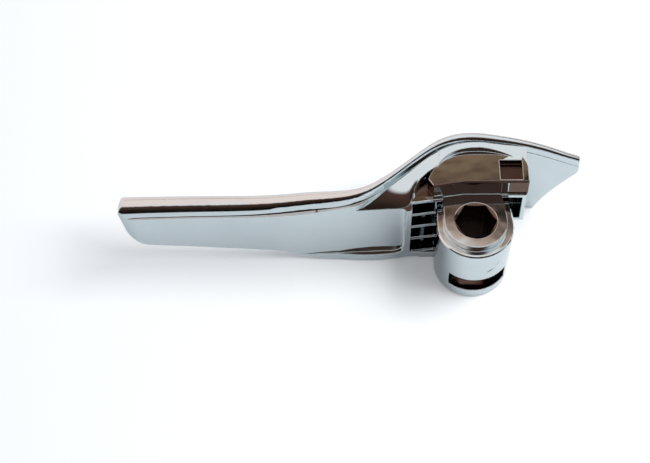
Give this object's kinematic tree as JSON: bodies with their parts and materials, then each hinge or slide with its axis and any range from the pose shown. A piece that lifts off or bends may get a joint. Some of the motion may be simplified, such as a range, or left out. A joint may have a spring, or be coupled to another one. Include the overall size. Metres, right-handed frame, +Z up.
{
  "type": "car interior door handle lever",
  "caption": "Chrome-plated pull lever of a car interior door handle: a long arm with a finger scoop, bent to a winged plate and a pivot hub with a hexagonal socket.",
  "frame": {"origin": "on the pivot axis, at the lower end of the pivot hub", "axes": "+Z up the pivot axis, -X along the arm to its free end, +Y to the decorative side"},
  "size_m": [0.1156, 0.0312, 0.0295],
  "materials": {
    "chrome": "polished"
  },
  "bodies": {
    "root": {"door_lever": "chrome"}
  },
  "joints": []
}
